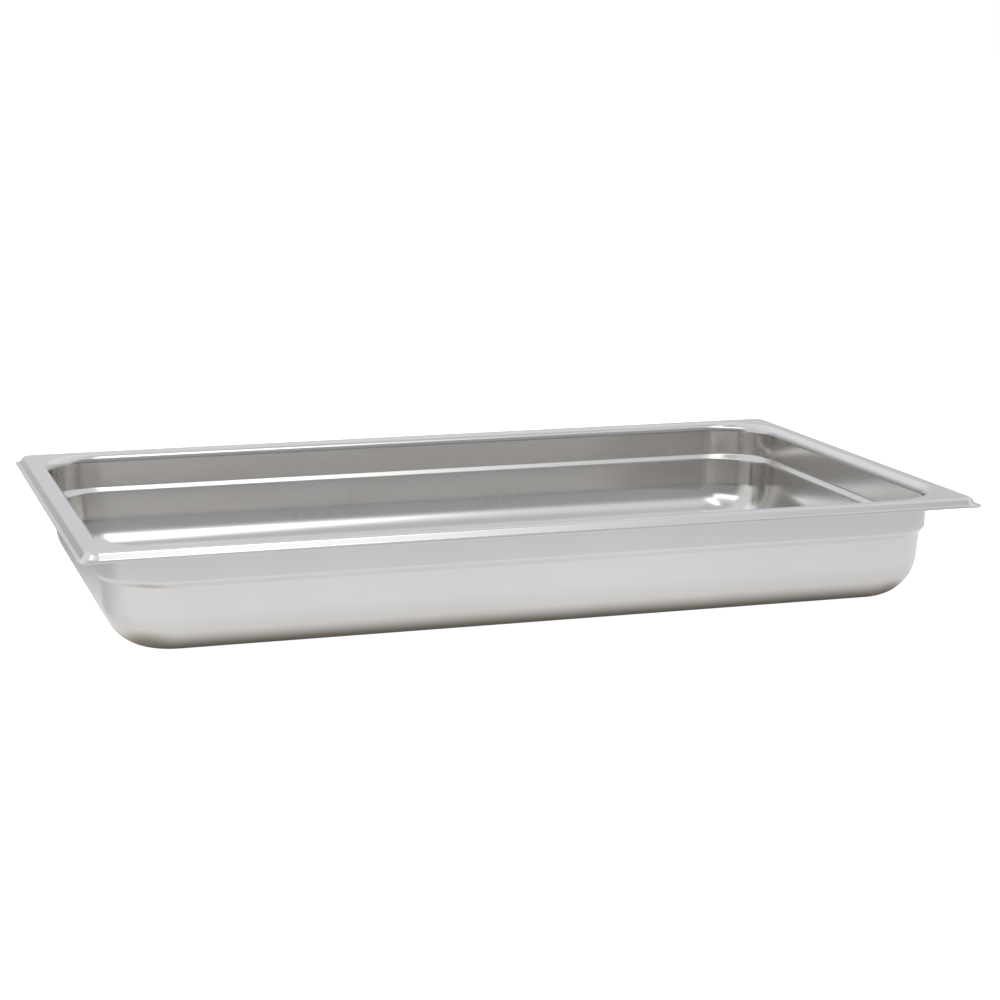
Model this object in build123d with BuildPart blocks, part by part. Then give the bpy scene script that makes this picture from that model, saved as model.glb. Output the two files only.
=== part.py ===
"""Full-size food pan, 65 mm deep, drawn from one sheet of stainless steel.

Millimetres. The origin is the centre of the underside of the floor, +Z is up and +X runs along the long side.

A pan of this kind is a single blank of sheet metal: the well is deep drawn, the flange is left standing round
its mouth, and the lip is turned down round the flange and trimmed to its outline. Nothing is welded, riveted
or hinged to it, so the part is one solid, one sheet thick.
"""

import os
from math import atan2, radians, tan

from build123d import *

# Overall size
LENGTH = 530.0  # along X, over the lip
WIDTH = 325.0  # along Y, over the lip
HEIGHT = 65.0  # underside of the floor to the top of the flange
SHEET = 0.8

# Lip: it turns down from the flange, then flares into a narrow foot whose edge is trimmed upright
LIP_DEPTH = 4.15  # top of the flange down to the top of the foot, at the trimmed edge
LIP_SLOPE = 55.0  # degrees below the horizontal
LIP_BEND = 2.2
LIP_CORNER = 6.5  # plan radius of the trimmed outline
FOOT_WIDTH = 1.9
FOOT_DROOP = 8.0  # degrees below the horizontal
FOOT_BEND = 1.2
TRIM_ALLOWANCE = 2.4  # how far the foot stands past the outline before it is trimmed

# Flange
FLANGE_WIDTH = 15.7  # outline to the outer face of the well
FLANGE_CORNER = 5.5  # plan radius of its flat, where the lip starts
FLANGE_RUN_ON = 1.0  # how much of that flat is made with the lip

# Well: an upright upper wall, a shoulder that keeps stacked pans from jamming, and a tapered lower wall
WELL_CORNER = 39.0  # plan radius of the outer face, the same all the way down the wall
WELL_BEND = 5.5  # upper radius of the bend from the flange into the wall
SHOULDER_TOP = 43.5  # height of the upper end of the shoulder, on the inner skin
SHOULDER_BASE = 40.3
SHOULDER_STEP = 2.2
SHOULDER_BEND = 2.0  # the smaller radius of each of its two bends
WALL_DRAFT = 4.3  # degrees from the vertical, below the shoulder
FLOOR_BEND = 27.0  # outer radius between the wall and the floor

# Upper skin of the lip, from past the trimmed edge inwards to the flat of the flange
foot_fall = tan(radians(FOOT_DROOP))
foot_root_depth = LIP_DEPTH - FOOT_WIDTH * foot_fall
slope_top_inset = FOOT_WIDTH + foot_root_depth / tan(radians(LIP_SLOPE))
lip_end_inset = slope_top_inset + LIP_BEND * tan(radians(LIP_SLOPE / 2)) + FLANGE_RUN_ON
lip_end_corner = FLANGE_CORNER - FLANGE_RUN_ON

shoulder_tilt = atan2(SHOULDER_STEP, SHOULDER_TOP - SHOULDER_BASE)  # from the vertical


def rounded_rectangle(inset, corner):
    """Sketch outline concentric with the pan, this far in from the trimmed edge of its lip."""
    return RectangleRounded(LENGTH - 2 * inset, WIDTH - 2 * inset, corner)


def edges_at(block, height):
    """Edges of a block that lie flat at this height."""
    return block.edges().filter_by_position(Axis.Z, height, height)


def well_block(skin):
    """Block bounded by one skin of the sheet: the well, with a plate one sheet thick across its mouth.

    skin is how far that skin lies in from the outer face: 0 for the outer face, SHEET for the inner one.
    """
    beneath = SHEET - skin
    mouth = HEIGHT - beneath
    corner = WELL_CORNER - skin
    shoulder_drop = beneath * tan(shoulder_tilt / 2)
    shoulder_top = SHOULDER_TOP - shoulder_drop
    shoulder_base = SHOULDER_BASE - shoulder_drop
    upper_inset = FLANGE_WIDTH + skin
    lower_inset = upper_inset + SHOULDER_STEP
    floor_inset = lower_inset + (shoulder_base - skin) * tan(radians(WALL_DRAFT))
    levels = [
        (mouth, upper_inset),
        (shoulder_top, upper_inset),
        (shoulder_base, lower_inset),
        (skin, floor_inset),
    ]

    with BuildPart() as block:
        for height, inset in levels:
            with BuildSketch(Plane.XY.offset(height)):
                rounded_rectangle(inset, corner)
        loft(ruled=True)
        fillet(edges_at(block, skin), FLOOR_BEND - skin)
        fillet(edges_at(block, shoulder_top), SHOULDER_BEND + beneath)
        fillet(edges_at(block, shoulder_base), SHOULDER_BEND + skin)

        with BuildSketch(Plane.XY.offset(mouth)):
            rounded_rectangle(lip_end_inset, lip_end_corner)
        extrude(amount=SHEET)
        plate_underside = block.faces().filter_by_position(Axis.Z, mouth, mouth)[0]
        fillet(plate_underside.inner_wires()[0].edges(), WELL_BEND - beneath)
    return block.part


def lip_section():
    """Section of the lip on the front side, with the sheet laid under its upper skin."""
    skin = [
        (-TRIM_ALLOWANCE, LIP_DEPTH + TRIM_ALLOWANCE * foot_fall),
        (FOOT_WIDTH, foot_root_depth),
        (slope_top_inset, 0),
        (lip_end_inset, 0),
    ]
    points = [(inset - WIDTH / 2, HEIGHT - depth) for inset, depth in skin]
    with BuildSketch(Plane.YZ) as section:
        with BuildLine():
            FilletPolyline(points, radius=[FOOT_BEND, LIP_BEND])
            offset(amount=SHEET, side=Side.RIGHT)
        make_face()
    return section.sketch


def lip_path():
    """Rounded rectangle round the flange, where the lip's section ends."""
    x = LENGTH / 2 - lip_end_inset
    y = WIDTH / 2 - lip_end_inset
    with BuildLine() as path:
        FilletPolyline((-x, -y), (x, -y), (x, y), (-x, y), close=True, radius=lip_end_corner)
    return path.line


with BuildPart() as pan:
    # Well and flange: the outer skin's block less the inner skin's
    add(well_block(0))
    add(well_block(SHEET), mode=Mode.SUBTRACT)

    # Lip, carried round the flange and then trimmed to its outline
    sweep(lip_section(), lip_path())
    with BuildSketch(Plane.XY):
        rounded_rectangle(0, LIP_CORNER)
    extrude(amount=HEIGHT, mode=Mode.INTERSECT)

pan.part.label = "pan"

os.makedirs("parts", exist_ok=True)
export_step(pan.part, "parts/pan.step")
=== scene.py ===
"""Looks of the stainless steel food pan: its sheet as a fine mesh, its finish, the studio and the camera.

Metres, in the frame of the CAD part: the origin is the centre of the underside, +X runs along the long side
and +Z is up. An inset is a distance in from the outline of the lip, seen from above.
"""

from math import cos, hypot, pi, radians, sin, tan

import bpy
from mathutils import Matrix, Vector


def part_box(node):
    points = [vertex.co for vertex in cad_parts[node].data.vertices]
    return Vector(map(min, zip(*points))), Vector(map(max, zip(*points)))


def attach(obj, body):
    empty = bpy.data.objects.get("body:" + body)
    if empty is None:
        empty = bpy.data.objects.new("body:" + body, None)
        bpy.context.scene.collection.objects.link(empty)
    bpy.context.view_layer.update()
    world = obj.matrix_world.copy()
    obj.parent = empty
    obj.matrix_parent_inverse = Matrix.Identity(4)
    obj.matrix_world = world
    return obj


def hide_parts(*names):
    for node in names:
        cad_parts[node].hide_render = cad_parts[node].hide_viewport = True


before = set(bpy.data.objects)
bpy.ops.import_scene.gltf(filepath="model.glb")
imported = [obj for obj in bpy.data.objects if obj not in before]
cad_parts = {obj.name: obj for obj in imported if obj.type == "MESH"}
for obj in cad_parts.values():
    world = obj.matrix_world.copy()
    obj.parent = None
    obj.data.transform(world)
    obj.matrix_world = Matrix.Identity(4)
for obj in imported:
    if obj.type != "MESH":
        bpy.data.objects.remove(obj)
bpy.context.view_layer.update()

MM = 0.001
low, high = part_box("pan")
HALF_LENGTH = (high.x - low.x) / 2
HALF_WIDTH = (high.y - low.y) / 2
TOP = high.z
FLOOR = low.z
CENTRE = (low + high) / 2

# The section of the sheet, by its upper skin, as the CAD part has it
SHEET = 0.8 * MM
LIP_DEPTH = 4.15 * MM
LIP_SLOPE = radians(55)
LIP_BEND = 2.2 * MM
LIP_CORNER = 6.5 * MM
FOOT_WIDTH = 1.9 * MM
FOOT_DROOP = radians(8)
FOOT_BEND = 1.2 * MM
DEBURR = 0.15 * MM  # rounding of the trimmed edge
FLANGE_CORNER = 5.5 * MM
WELL_INSET = 16.5 * MM
WELL_CORNER = 38.2 * MM
WELL_BEND = 5.5 * MM
SHOULDER_TOP = 43.5 * MM
SHOULDER_BASE = 40.3 * MM
SHOULDER_STEP = 2.2 * MM
SHOULDER_BEND = 2.0 * MM  # the smaller radius of each of its two bends
WALL_DRAFT = radians(4.3)
FLOOR_BEND = 26.2 * MM
FLOOR_RINGS = [70 * MM, 100 * MM, 130 * MM]  # insets of the rings inside the floor's flat
FLOOR_RUN_ON = 8 * MM  # from the end of the floor bend to the first ring of that flat

# Mesh density
BEND_STEP = radians(4)
FEWEST_STEPS = 4  # in a bend
HOLDING = 0.35 * MM  # how close a point stands to the end of a bend, to keep the straight beside it straight
CORNER_SEGMENTS = 40
SIDE_SEGMENTS = [48, 30, 48, 30]  # back, left, front, right
FOOT_SHARES = [0.35, 0.7, 1]  # of the way out along the foot's flat, where its rings are
EDGE_TURNS = [radians(30), radians(60), radians(90)]  # round from the flat to the upright of the trimmed edge


# ---------------------------------------------------------------------------------------------------- mesh

def bent_line(points, bends):
    """A polyline with rounded corners, as pairs of a point and the unit normal on its right."""
    line = []

    def add(point, along):
        line.append((point, Vector((along.y, -along.x))))

    add(Vector(points[0]), (Vector(points[1]) - Vector(points[0])).normalized())
    for previous, corner, following, radius in zip(points, points[1:], points[2:], bends):
        corner = Vector(corner)
        before = (corner - Vector(previous)).normalized()
        after = (Vector(following) - corner).normalized()
        turn = before.cross(after)
        side = 1 if turn > 0 else -1
        angle = before.angle(after)
        setback = radius * tan(angle / 2)
        start = corner - before * setback
        centre = start + Vector((-before.y, before.x)) * radius * side
        add(start - before * HOLDING, before)
        steps = max(FEWEST_STEPS, round(angle / BEND_STEP))
        for step in range(steps + 1):
            rotation = Matrix.Rotation(side * angle * step / steps, 2)
            add(centre + rotation @ (start - centre), rotation @ before)
        add(corner + after * (setback + HOLDING), after)
    add(Vector(points[-1]), after)
    return line


def ring(inset, corner):
    """A rounded rectangle this far in from the outline, anticlockwise from the end of its right side."""
    x = HALF_LENGTH - inset - corner
    y = HALF_WIDTH - inset - corner
    arcs = []
    for quarter, centre in enumerate([(x, y), (-x, y), (-x, -y), (x, -y)]):
        angles = [(quarter + step / CORNER_SEGMENTS) * pi / 2 for step in range(CORNER_SEGMENTS + 1)]
        arcs.append([Vector(centre) + corner * Vector((cos(a), sin(a))) for a in angles])
    points = []
    for arc, following, segments in zip(arcs, arcs[1:] + arcs[:1], SIDE_SEGMENTS):
        side = following[0] - arc[-1]
        hold = side.normalized() * HOLDING
        points += arc
        points.append(arc[-1] + hold)
        points += [arc[-1] + side * step / segments for step in range(1, segments)]
        points.append(following[0] - hold)
    return points


foot_root_depth = LIP_DEPTH - FOOT_WIDTH * tan(FOOT_DROOP)
slope_top_inset = FOOT_WIDTH + foot_root_depth / tan(LIP_SLOPE)
lip_end_inset = slope_top_inset + LIP_BEND * tan(LIP_SLOPE / 2)
floor_corner_inset = WELL_INSET + SHOULDER_STEP + (SHOULDER_BASE - SHEET) * tan(WALL_DRAFT)
floor_setback = FLOOR_BEND * tan((pi / 2 - WALL_DRAFT) / 2)
floor_bend_inset = floor_corner_inset - floor_setback * sin(WALL_DRAFT)
floor_inset = floor_corner_inset + floor_setback


def plan_corner(inset):
    """Plan radius of the upper skin at an inset: round the lip, down the well and in along the floor bend."""
    if inset < (lip_end_inset + WELL_INSET - WELL_BEND) / 2:
        return FLANGE_CORNER + lip_end_inset - inset
    return WELL_CORNER + max(0, WELL_INSET - inset) - max(0, inset - floor_bend_inset)


def foot_height(point):
    """Height of the foot's upper skin over a point seen from above: it droops away from the slope's base."""
    root_corner = plan_corner(FOOT_WIDTH)
    x = max(0, abs(point.x) - (HALF_LENGTH - FOOT_WIDTH - root_corner))
    y = max(0, abs(point.y) - (HALF_WIDTH - FOOT_WIDTH - root_corner))
    return TOP - foot_root_depth - (hypot(x, y) - root_corner) * tan(FOOT_DROOP)


def lifted(points, height):
    """Points seen from above, all put at one height."""
    return [Vector((p.x, p.y, height)) for p in points]


def on_foot(points, below):
    """Points seen from above, put this far below the foot's upper skin."""
    return [Vector((p.x, p.y, foot_height(p) - below)) for p in points]


def skin_rows():
    """Rings of the upper skin and of the underside, from the middle of the floor out to the foot's root."""
    section = [
        (floor_inset + FLOOR_RUN_ON, SHEET),
        (floor_corner_inset, SHEET),
        (WELL_INSET + SHOULDER_STEP, SHOULDER_BASE),
        (WELL_INSET, SHOULDER_TOP),
        (WELL_INSET, TOP),
        (slope_top_inset, TOP),
        (FOOT_WIDTH, TOP - foot_root_depth),
        (0, TOP - LIP_DEPTH),
    ]
    bends = [FLOOR_BEND, SHOULDER_BEND + SHEET, SHOULDER_BEND, WELL_BEND, LIP_BEND, FOOT_BEND]
    line = bent_line(section, bends)[:-1]
    inner = plan_corner(floor_inset) - SHEET
    upper = [lifted(ring(inset, inner), SHEET) for inset in reversed(FLOOR_RINGS)]
    under = [lifted(ring(inset, inner), FLOOR) for inset in reversed(FLOOR_RINGS)]
    for point, normal in line:
        corner = plan_corner(min(point.x, floor_inset))
        back = -normal * SHEET
        upper.append(lifted(ring(point.x, corner), point.y))
        under.append(lifted(ring(point.x + back.x, corner - back.x), point.y + back.y))
    return upper, under


def foot_rows(root, below):
    """Rings of one side of the foot's flat, from its root out to where the trimmed edge rounds off."""
    end = ring(DEBURR, LIP_CORNER - DEBURR)
    return [on_foot([r.to_2d().lerp(e, share) for r, e in zip(root, end)], below) for share in FOOT_SHARES]


def edge_rows(upper_end, under_end):
    """Rings of the foot and of its trimmed, deburred edge, from the upper skin round to the underside."""
    thick = SHEET / cos(FOOT_DROOP)
    upper = foot_rows(upper_end, 0)
    under = foot_rows(under_end, thick)
    for turn in EDGE_TURNS:
        inset = DEBURR * (1 - sin(turn))
        depth = DEBURR * (1 - cos(turn))
        outline = ring(inset, LIP_CORNER - inset)
        upper.append(on_foot(outline, depth))
        under.append(on_foot(outline, thick - depth))
    return upper + under[::-1]


def make_sheet(material):
    """The pan as one closed mesh: the upper skin, round the trimmed edge, and back along the underside."""
    upper, under = skin_rows()
    rows = upper + edge_rows(upper[-1], under[-1]) + under[::-1]
    count = len(rows[0])
    faces = [list(range(count))]
    for row in range(len(rows) - 1):
        a = row * count
        b = a + count
        for j in range(count):
            k = (j + 1) % count
            faces.append([a + j, b + j, b + k, a + k])
    last = (len(rows) - 1) * count
    faces.append([last + j for j in reversed(range(count))])
    mesh = bpy.data.meshes.new("pan_sheet")
    mesh.from_pydata([p for row in rows for p in row], [], faces)
    mesh.validate()
    mesh.shade_smooth()
    mesh.materials.append(material)
    sheet = bpy.data.objects.new("pan_sheet", mesh)
    bpy.context.scene.collection.objects.link(sheet)
    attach(sheet, "root")
    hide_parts("pan")


# ------------------------------------------------------------------------------------------------ material

class Graph:
    """A short way to write a material's nodes: each call adds one node and returns its main output."""

    def __init__(self, tree):
        self.tree = tree

    def node(self, kind, inputs=(), **settings):
        made = self.tree.nodes.new("ShaderNode" + kind)
        for name, value in settings.items():
            setattr(made, name, value)
        for name, value in dict(inputs).items():
            if isinstance(value, bpy.types.NodeSocket):
                self.tree.links.new(value, made.inputs[name])
            else:
                made.inputs[name].default_value = value
        return made

    def math(self, operation, a, b=0.0, clamp=False):
        return self.node("Math", {0: a, 1: b}, operation=operation, use_clamp=clamp).outputs[0]

    def ramp(self, value, start, end, low=0.0, high=1.0):
        """Goes smoothly from low to high as value goes from start to end."""
        inputs = {"Value": value, 1: start, 2: end, 3: low, 4: high}
        return self.node("MapRange", inputs, interpolation_type="SMOOTHSTEP").outputs[0]

    def noise(self, vector, scale, detail=2.0, roughness=0.5):
        inputs = {"Vector": vector, "Scale": scale, "Detail": detail, "Roughness": roughness}
        return self.node("TexNoise", inputs).outputs["Fac"]

    def drawn_out_noise(self, vector, squeeze, scale, detail):
        """A noise drawn out along an axis where squeeze is under 1."""
        squeezed = self.node("Mapping", {"Vector": vector, "Scale": squeeze}).outputs[0]
        return self.noise(squeezed, scale, detail)

    def mix(self, share, a, b):
        inputs = {0: share, 6: a, 7: b}
        return self.node("Mix", inputs, data_type="RGBA").outputs[2]

    def float_mix(self, share, a, b):
        return self.node("Mix", {0: share, 2: a, 3: b}).outputs[0]

    def axes(self, vector):
        return self.node("SeparateXYZ", {0: vector}).outputs


# Tints of the steel, and how far each kind of mark takes it to its own
CLEAN_TINT = (0.695, 0.680, 0.658, 1)
CLOUDED_TINT = (0.672, 0.655, 0.630, 1)
MARK_TINT = (0.545, 0.525, 0.490, 1)
# The inner corners' two tints below are partly draw marks and partly painted shade that darkens them.
CORNER_MARKS_AND_SHADE_TINT = (0.560, 0.540, 0.500, 1)
CORNER_STREAKS_AND_SHADE_TINT = (0.520, 0.500, 0.460, 1)
MARK_SHARE = 0.75
CORNER_MARKS_AND_SHADE_SHARE = 0.8
CORNER_STREAKS_AND_SHADE_SHARE = 0.55

# Its noises: how each is squeezed along X, Y and Z, its cycles per metre and its detail
STREAKS = ((1, 1, 0.045), 520, 3)
BROAD_STREAKS = ((1, 1, 0.16), 110, 2)
PATCHES = ((1, 1, 1.6), 16, 1)
GRAIN = ((0.35, 1, 1), 2600, 2)
HAIRLINES = ((0.02, 1, 1), 900, 1)
DENTS = ((1, 1, 0.5), 60, 2)
CLOUD = (14, 4, 0.6)  # cycles per metre, detail and roughness
WAVES = (9, 1)  # cycles per metre and detail

# The values of a noise between which its marks come up
STREAK_LEVELS = (0.25, 0.75)
BROAD_STREAK_LEVELS = (0.3, 0.7)
PATCH_LEVELS = (0.40, 0.75)
HAIRLINE_LEVELS = (0.68, 0.76)
CLOUD_LEVELS = (0.3, 0.7)

# Roughness, and what each kind of mark adds to it at its strongest
ROUGHNESS = 0.165
CLOUD_ROUGHNESS = 0.05
GRAIN_ROUGHNESS = 0.04  # from its smoothest to its roughest, half of it taken off and half added
MARK_ROUGHNESS = 0.06
SCRATCH_ROUGHNESS = 0.06
SHOULDER_ROUGHNESS = 0.06
CORNER_POLISH = 0.06  # taken off

# Heights of the bumps
WAVE_HEIGHT = 0.05 * MM
DENT_HEIGHT = 0.02 * MM
STREAK_HEIGHT = 0.0008 * MM
GRAIN_HEIGHT = 0.0004 * MM

# Where on the pan the marks and the painted shade of the inner corners are
LEVEL_TO_WALL = (0.75, 0.35)  # upright share of the normal
OUTER_TO_INNER = (0, -0.05)  # distance from the middle of the pan times the normal's share away from it
# The corners' reach and gain below also set the painted shade in the inner corners.
CORNER_REACH = 1.25 * WELL_CORNER  # along the wall from the corner
CORNER_GAIN = 2.0  # the corner's marks reach full strength well before its end
DRAWN_HEIGHTS = (34 * MM, 16 * MM)  # of the draw marks on the wall, from their faintest to their strongest
DRAWN_LEAST = 0.25  # their strength above those heights
SHOULDER_REACH = (5 * MM, 2 * MM)  # off mid-shoulder: where it starts to turn duller, and where it's dullest


class Steel:
    """The steel's node tree, with the masks that its tint, its roughness and its bumps share."""

    def __init__(self, tree):
        g = Graph(tree)
        self.g = g
        self.place = g.node("TexCoord").outputs["Object"]
        x, y, self.z = g.axes(self.place)
        normal_x, normal_y, normal_z = g.axes(g.node("NewGeometry").outputs["Normal"])
        facing_out = g.math("ADD", g.math("MULTIPLY", normal_x, x), g.math("MULTIPLY", normal_y, y))
        self.inside = g.ramp(facing_out, *OUTER_TO_INNER)
        self.wall = g.ramp(g.math("ABSOLUTE", normal_z), *LEVEL_TO_WALL)
        ends = g.math("MINIMUM", self.wall_end(x, HALF_LENGTH), self.wall_end(y, HALF_WIDTH))
        self.corner = g.math("MULTIPLY", self.wall, g.math("MULTIPLY", ends, CORNER_GAIN, clamp=True))
        # Painted shade, partly draw marks: the mask of the inner corners that darkens their tint.
        self.inner_corner_marks_and_shade = g.math("MULTIPLY", self.corner, self.inside)
        self.cloud = g.noise(self.place, *CLOUD)
        self.grain = g.drawn_out_noise(self.place, *GRAIN)
        self.streaks = g.drawn_out_noise(self.place, *STREAKS)
        self.marks = self.draw_marks()

    def wall_end(self, across, half_size):
        """0 along the straight of a wall and 1 at its end, by the distance across the pan."""
        end = half_size - WELL_INSET
        return self.g.ramp(self.g.math("ABSOLUTE", across), end - CORNER_REACH, end)

    def draw_marks(self):
        """Fine upright streaks on the inner walls, in patches, strongest low down."""
        g = self.g
        patches = g.ramp(g.drawn_out_noise(self.place, *PATCHES), *PATCH_LEVELS)
        drawn = g.math("MULTIPLY", self.inside, g.ramp(self.z, *DRAWN_HEIGHTS, DRAWN_LEAST, 1))
        streaks = g.ramp(self.streaks, *STREAK_LEVELS)
        marks = g.math("MULTIPLY", g.math("MULTIPLY", self.wall, patches), streaks)
        return g.math("MULTIPLY", marks, drawn)

    def tint(self):
        """Cloudy steel, greyer where it was drawn, with the inner corners darker and streaked upright, partly
        draw marks and partly painted shade.
        """
        g = self.g
        broad_streaks = g.ramp(g.drawn_out_noise(self.place, *BROAD_STREAKS), *BROAD_STREAK_LEVELS)
        corner_streaks_and_shade = g.math("MULTIPLY", self.inner_corner_marks_and_shade, broad_streaks)
        tint = g.mix(g.ramp(self.cloud, *CLOUD_LEVELS), CLOUDED_TINT, CLEAN_TINT)
        tint = g.mix(g.math("MULTIPLY", self.marks, MARK_SHARE), tint, MARK_TINT)
        # Painted shade darkening the inner corners, partly draw marks, then broad streaks of it there.
        tint = g.mix(g.math("MULTIPLY", self.inner_corner_marks_and_shade, CORNER_MARKS_AND_SHADE_SHARE), tint, CORNER_MARKS_AND_SHADE_TINT)
        return g.mix(g.math("MULTIPLY", corner_streaks_and_shade, CORNER_STREAKS_AND_SHADE_SHARE), tint, CORNER_STREAKS_AND_SHADE_TINT)

    def roughness(self):
        """A mill finish with faint hairline scratches on the level faces, duller inside at the shoulder."""
        g = self.g
        hairlines = g.ramp(g.drawn_out_noise(self.place, *HAIRLINES), *HAIRLINE_LEVELS)
        scratches = g.math("MULTIPLY", hairlines, g.math("SUBTRACT", 1.0, self.wall))
        off_shoulder = g.math("ABSOLUTE", g.math("SUBTRACT", self.z, (SHOULDER_TOP + SHOULDER_BASE) / 2))
        shoulder = g.ramp(off_shoulder, *SHOULDER_REACH, 0, SHOULDER_ROUGHNESS)
        rough = g.math("ADD", ROUGHNESS, g.math("MULTIPLY", self.cloud, CLOUD_ROUGHNESS))
        rough = g.math("ADD", rough, g.math("MULTIPLY", g.math("SUBTRACT", self.grain, 0.5), GRAIN_ROUGHNESS))
        rough = g.math("ADD", rough, g.math("MULTIPLY", self.marks, MARK_ROUGHNESS))
        rough = g.math("SUBTRACT", rough, g.math("MULTIPLY", self.corner, CORNER_POLISH))
        rough = g.math("ADD", rough, g.math("MULTIPLY", scratches, SCRATCH_ROUGHNESS))
        return g.math("ADD", rough, g.math("MULTIPLY", self.inside, shoulder))

    def bumps(self):
        """Slow waves all over, dents round the corners, and the streaks and the grain in low relief."""
        g = self.g
        dents = g.math("MULTIPLY", g.drawn_out_noise(self.place, *DENTS), self.corner)
        streak_height = g.math("MULTIPLY", self.wall, STREAK_HEIGHT)
        height = g.math("MULTIPLY", g.noise(self.place, *WAVES), WAVE_HEIGHT)
        height = g.math("ADD", height, g.math("MULTIPLY", dents, DENT_HEIGHT))
        height = g.math("ADD", height, g.math("MULTIPLY", self.streaks, streak_height))
        height = g.math("ADD", height, g.math("MULTIPLY", self.grain, GRAIN_HEIGHT))
        return g.node("Bump", {"Height": height, "Strength": 1.0, "Distance": 1.0}).outputs[0]


def make_steel():
    """Drawn stainless sheet: a soft mill finish, rubbed upright by the die, most at the corners, with painted
    shade darkening the inner corners.
    """
    material = bpy.data.materials.new("satin_stainless_steel")
    material.use_nodes = True
    tree = material.node_tree
    shader = tree.nodes["Principled BSDF"]
    steel = Steel(tree)
    tree.links.new(steel.tint(), shader.inputs["Base Color"])
    tree.links.new(steel.roughness(), shader.inputs["Roughness"])
    tree.links.new(steel.bumps(), shader.inputs["Normal"])
    shader.inputs["Metallic"].default_value = 1
    return material


# -------------------------------------------------------------------------------------------------- studio

PAPER_ALBEDO = (0.50, 0.50, 0.51, 1)
# Painted shadow: the paper's colour turns darker and warm where the pan meets it.
CONTACT_SHADOW_ALBEDO = (0.50, 0.44, 0.37, 1)  # a warm shade where the pan meets the paper
PAPER_RADIUS = 6.0
PAPER_SEGMENTS = 96
PAPER_GAP = 0.3 * MM  # under the pan
# The paper's glow is painted light from the paper itself, not a lamp: a pool of light brightest close round
# the pan, with painted shadow under the pan's edge, out on the right and beside the pan on the left.
PAPER_GLOW = 0.34  # radiance added by the light under the paper, away from the pan
NEAR_GLOW = 0.61  # the same, close round the pan
GLOW_COLOUR = (0.985, 0.99, 1, 1)
CONTACT_GLOW = 0.12  # the share of that glow left under the edge of the pan
RIGHT_GLOW = 0.84  # and out on the right
BESIDE_GLOW = 0.5  # and close by the pan on the left
OVEREXPOSURE = 0.95  # added where the camera looks straight at the paper

# Where the paper changes: distances from the flat of the pan's floor, then distances along X and along Y
FAR_TO_NEAR = (320 * MM, 40 * MM)
CONTACT_TO_NEAR = (10 * MM, 30 * MM)
# The reach of that painted shadow in the paper's colour, from the pan out to plain paper.
CONTACT_SHADOW_TO_PAPER = (12 * MM, 40 * MM)  # in colour
MIDDLE_TO_RIGHT = (60 * MM, 280 * MM)
MIDDLE_TO_LEFT = (-245 * MM, -285 * MM)
FRONT_TO_BESIDE = (-150 * MM, -20 * MM)
FRONT_TO_BACK = (-60 * MM, 260 * MM)  # where the glow dies away


def make_paper():
    """White paper that glows as painted light, strongest close round the pan to keep shadows on it faint,
    with painted shadow under the pan's edge, beside it on the left and where it stands on the paper.
    """
    paper = bpy.data.materials.new("studio_paper")
    paper.use_nodes = True
    g = Graph(paper.node_tree)
    shader = paper.node_tree.nodes["Principled BSDF"]
    x, y = g.axes(g.node("TexCoord").outputs["Object"])[:2]
    past_x = g.math("MAXIMUM", g.math("SUBTRACT", g.math("ABSOLUTE", x), HALF_LENGTH - floor_inset), 0)
    past_y = g.math("MAXIMUM", g.math("SUBTRACT", g.math("ABSOLUTE", y), HALF_WIDTH - floor_inset), 0)
    past = g.node("CombineXYZ", {0: past_x, 1: past_y}).outputs[0]
    away = g.node("VectorMath", {0: past}, operation="LENGTH").outputs["Value"]
    # Painted light and shadow in the paper's glow: brighter close round the pan, fading to the back, dimmed
    # under the pan's edge, on the right and beside the pan on the left.
    glow = g.ramp(away, *FAR_TO_NEAR, PAPER_GLOW, NEAR_GLOW)
    glow = g.math("MULTIPLY", glow, g.ramp(y, *FRONT_TO_BACK, 1, 0))
    glow = g.math("MULTIPLY", glow, g.ramp(away, *CONTACT_TO_NEAR, CONTACT_GLOW, 1))
    glow = g.math("MULTIPLY", glow, g.ramp(x, *MIDDLE_TO_RIGHT, 1, RIGHT_GLOW))
    painted_shadow_beside = g.math("MULTIPLY", g.ramp(x, *MIDDLE_TO_LEFT), g.ramp(y, *FRONT_TO_BESIDE))
    glow = g.float_mix(painted_shadow_beside, glow, g.math("MULTIPLY", glow, BESIDE_GLOW))
    seen = g.math("MULTIPLY", g.node("LightPath").outputs["Is Camera Ray"], OVEREXPOSURE)
    g.tree.links.new(g.math("ADD", glow, seen), shader.inputs["Emission Strength"])
    shader.inputs["Emission Color"].default_value = GLOW_COLOUR
    # Painted shadow: darker, warm paper colour close round the pan's floor.
    colour = g.mix(g.ramp(away, *CONTACT_SHADOW_TO_PAPER), CONTACT_SHADOW_ALBEDO, PAPER_ALBEDO)
    g.tree.links.new(colour, shader.inputs["Base Color"])
    shader.inputs["Roughness"].default_value = 0.9
    shader.inputs["Specular IOR Level"].default_value = 0
    return paper


def make_stage():
    """A round sheet of paper, far wider than any view of the pan."""
    angles = [2 * pi * j / PAPER_SEGMENTS for j in range(PAPER_SEGMENTS)]
    rim = [(PAPER_RADIUS * cos(a), PAPER_RADIUS * sin(a), FLOOR - PAPER_GAP) for a in angles]
    mesh = bpy.data.meshes.new("studio_floor")
    mesh.from_pydata(rim, [], [list(range(PAPER_SEGMENTS))])
    mesh.materials.append(make_paper())
    floor = bpy.data.objects.new("studio_floor", mesh)
    bpy.context.scene.collection.objects.link(floor)


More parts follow.
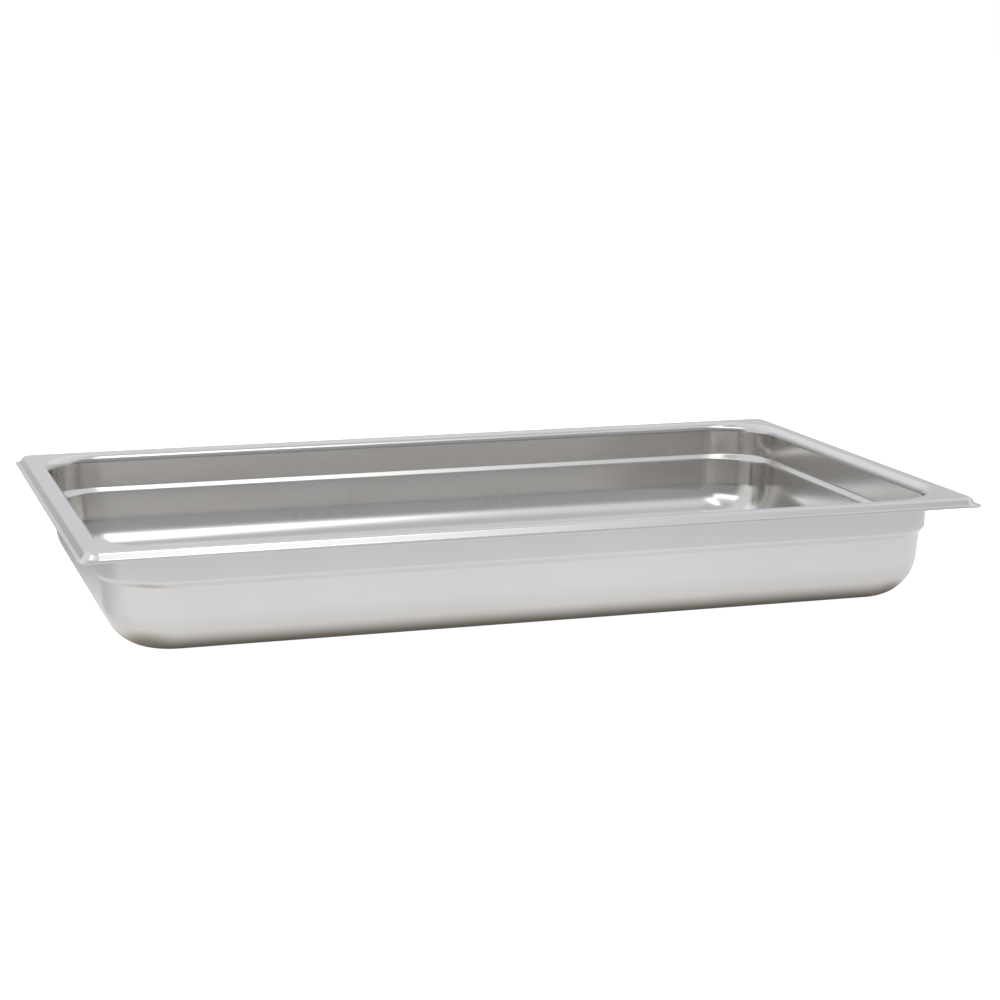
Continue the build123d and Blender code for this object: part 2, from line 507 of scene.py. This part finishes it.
# The key light. Each feather is where it starts to shine and where it shines in full.
# Those are measured from the light's middle.
KEY_CENTRE = (0.36, -0.83, 2.0)
KEY_WIDTH = 1.7
KEY_DEPTH = 1.42
KEY_SLANT = radians(33)  # of its right-hand edge
KEY_RADIANCE = 3.0  # added to the air behind it
KEY_LEFT_FEATHER = (-0.46, -0.34)
KEY_RIGHT_FEATHER = (0.24, -0.22)
KEY_FAR_FEATHER = (-0.71, -0.07)
KEY_NEAR_FEATHER = (0.71, 0.52)
KEY_WARMTH = (-0.02, 0.18)  # where it starts to turn warm on the right, and where it's at its warmest
KEY_COLOUR = (1, 0.99, 0.97, 1)
KEY_EDGE_COLOUR = (1, 0.80, 0.64, 1)


def make_key():
    """A wide softbox overhead on the camera's side, feathered all round and warm along its right edge."""
    light = bpy.data.lights.new("key", "AREA")
    light.shape = "RECTANGLE"
    light.size = KEY_WIDTH
    light.size_y = KEY_DEPTH
    light.energy = KEY_RADIANCE * KEY_WIDTH * KEY_DEPTH * pi
    light.use_nodes = True
    g = Graph(light.node_tree)
    across, along = g.axes(g.node("NewGeometry").outputs["Parametric"])[:2]
    x = g.math("MULTIPLY", g.math("SUBTRACT", across, 0.5), KEY_WIDTH)
    y = g.math("MULTIPLY", g.math("SUBTRACT", along, 0.5), KEY_DEPTH)
    right = g.math("ADD", g.math("MULTIPLY", x, cos(KEY_SLANT)), g.math("MULTIPLY", y, sin(KEY_SLANT)))
    mask = g.math("MULTIPLY", g.ramp(right, *KEY_RIGHT_FEATHER), g.ramp(x, *KEY_LEFT_FEATHER))
    mask = g.math("MULTIPLY", mask, g.ramp(y, *KEY_FAR_FEATHER))
    mask = g.math("MULTIPLY", mask, g.ramp(y, *KEY_NEAR_FEATHER))
    emission = light.node_tree.nodes["Emission"]
    g.tree.links.new(mask, emission.inputs["Strength"])
    g.tree.links.new(g.mix(g.ramp(right, *KEY_WARMTH), KEY_COLOUR, KEY_EDGE_COLOUR), emission.inputs["Color"])
    lamp = bpy.data.objects.new("key", light)
    lamp.location = KEY_CENTRE
    bpy.context.scene.collection.objects.link(lamp)


# Radiance of the air round the pan
BACK_AIR = 0.76  # low down, behind the pan
BACK_RIGHT_AIR = 0.68
BACK_LEFT_AIR = 0.48
LEFT_AIR = 1.05
BACK_UPPER_AIR = 1.0  # over those
FRONT_AIR = 0.22  # low down, on the camera's side
FRONT_UPPER_AIR = 0.44  # over that
UPPER_AIR = 0.93  # over all of those, up to the air overhead
OVERHEAD_AIR = 0.66
OVERHEAD_GLOW = 1.0  # overhead too, in a broad band just behind the vertical
WINDOW = 1.5  # added by a wide window high on the left, on the camera's side
SEEN_AIR = 1.05  # what the camera sees straight on
AIR_COLOUR = (0.95, 0.975, 1.02, 1)

# Where the air changes from one to another. First how far round to the left: -x over the size of y, in the
# direction looked in
RIGHT_TO_MIDDLE_AIR = (-0.50, -0.20)
MIDDLE_TO_LEFT_AIR = (0.12, 0.30)
BACK_LEFT_TO_LEFT_AIR = (0.8, 1.6)
WINDOW_RIGHT_EDGE = (0.05, 0.3)
LEAST_BACK = 0.05  # the least size of y used for it

# How far back: y
BACK_TO_FRONT_AIR = (-0.15, -0.5)
GLOW_NEAR_EDGE = (0.04, 0.16)
GLOW_FAR_EDGE = (0.42, 0.28)
WINDOW_BACK_EDGE = (-0.10, -0.25)

# And how high: z
BACK_LEFT_RISE = (0.15, 0.24)
BACK_RISE = (0.24, 0.42)
FRONT_RISE = (0.12, 0.24)
UPPER_RISE = (0.66, 0.82)
OVERHEAD_RISE = (0.87, 0.95)
WINDOW_FOOT = (0.60, 0.68)
WINDOW_HEAD = (0.84, 0.76)


def make_world():
    """Pale air all round: dim low down on the camera's side and behind on the left, brighter higher up."""
    world = bpy.data.worlds.new("studio_air")
    world.use_nodes = True
    g = Graph(world.node_tree)
    x, y, z = g.axes(g.node("TexCoord").outputs["Generated"])
    left = g.math("DIVIDE", g.math("MULTIPLY", x, -1.0), g.math("MAXIMUM", g.math("ABSOLUTE", y), LEAST_BACK))
    back_left_air = g.ramp(z, *BACK_LEFT_RISE, BACK_LEFT_AIR, BACK_AIR)
    back_air = g.float_mix(g.ramp(left, *RIGHT_TO_MIDDLE_AIR), BACK_RIGHT_AIR, BACK_AIR)
    back_air = g.float_mix(g.ramp(left, *MIDDLE_TO_LEFT_AIR), back_air, back_left_air)
    back_air = g.float_mix(g.ramp(left, *BACK_LEFT_TO_LEFT_AIR), back_air, LEFT_AIR)
    back_air = g.float_mix(g.ramp(z, *BACK_RISE), back_air, BACK_UPPER_AIR)
    front_air = g.ramp(z, *FRONT_RISE, FRONT_AIR, FRONT_UPPER_AIR)
    low_air = g.float_mix(g.ramp(y, *BACK_TO_FRONT_AIR), back_air, front_air)
    upper = g.float_mix(g.ramp(z, *UPPER_RISE), low_air, UPPER_AIR)
    band = g.math("MULTIPLY", g.ramp(y, *GLOW_NEAR_EDGE), g.ramp(y, *GLOW_FAR_EDGE))
    overhead = g.float_mix(band, OVERHEAD_AIR, OVERHEAD_GLOW)
    strength = g.float_mix(g.ramp(z, *OVERHEAD_RISE), upper, overhead)
    window = g.math("MULTIPLY", g.ramp(y, *WINDOW_BACK_EDGE), g.ramp(left, *WINDOW_RIGHT_EDGE))
    window = g.math("MULTIPLY", window, g.math("MULTIPLY", g.ramp(z, *WINDOW_FOOT), g.ramp(z, *WINDOW_HEAD)))
    strength = g.math("ADD", strength, g.math("MULTIPLY", window, WINDOW))
    strength = g.float_mix(g.node("LightPath").outputs["Is Camera Ray"], strength, SEEN_AIR)
    background = world.node_tree.nodes["Background"]
    background.inputs["Color"].default_value = AIR_COLOUR
    g.tree.links.new(strength, background.inputs["Strength"])
    bpy.context.scene.world = world


# -------------------------------------------------------------------------------------------------- camera

CAMERA_AZIMUTH = radians(-17.26)
CAMERA_ELEVATION = radians(10.96)
CAMERA_DISTANCE = 1.4622
AIM_RIGHT = 15.5 * MM  # how far right of the pan's centre the camera aims
AIM_UP = 16.7 * MM
LENS = 84.51
SENSOR = 36


def make_camera():
    """The camera of the photograph, aimed a little to the right of the pan's centre and over it."""
    data = bpy.data.cameras.new("camera")
    data.lens = LENS
    data.sensor_width = SENSOR
    camera = bpy.data.objects.new("camera", data)
    turn = Matrix.Rotation(CAMERA_AZIMUTH, 3, "Z") @ Matrix.Rotation(pi / 2 - CAMERA_ELEVATION, 3, "X")
    camera.rotation_euler = turn.to_euler()
    camera.location = CENTRE + turn @ Vector((AIM_RIGHT, AIM_UP, CAMERA_DISTANCE))
    bpy.context.scene.collection.objects.link(camera)
    bpy.context.scene.camera = camera


make_sheet(make_steel())
make_stage()
make_world()
make_key()
make_camera()

scene = bpy.context.scene
scene.view_settings.view_transform = "Standard"
scene.view_settings.look = "None"
